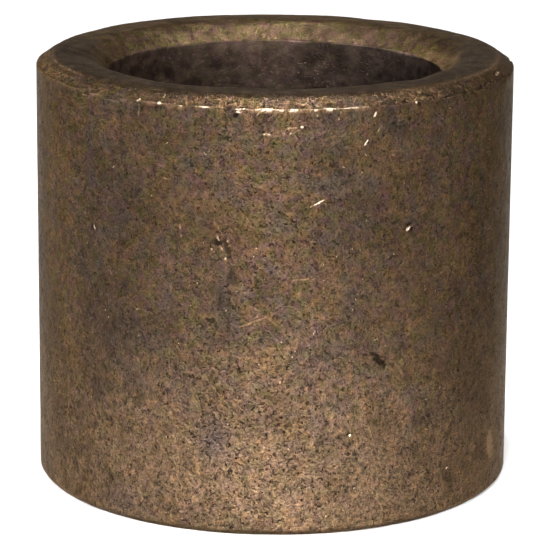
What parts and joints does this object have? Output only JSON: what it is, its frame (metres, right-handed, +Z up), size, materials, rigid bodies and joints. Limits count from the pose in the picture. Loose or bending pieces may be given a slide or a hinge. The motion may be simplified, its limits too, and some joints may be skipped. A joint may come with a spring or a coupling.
{
  "type": "sleeve bushing",
  "caption": "Plain cylindrical sleeve bushing in oil-filled sintered bronze: a one-piece ring with a through bore, chamfered bore mouths and a chamfered lead-in round its upper end.",
  "frame": {"origin": "centre of the lower end face, on the bore's axis", "axes": "+Z up along the bore's axis, from the lower end face to the end with the wider lead-in chamfer; +X and +Y are alike, because the part is round"},
  "size_m": [0.02, 0.02, 0.018],
  "materials": {
    "sintered_bronze": "oily, fine-pored sintered bronze, dull brown with a soft sheen"
  },
  "bodies": {
    "root": {"sleeve": "sintered_bronze"}
  },
  "joints": []
}
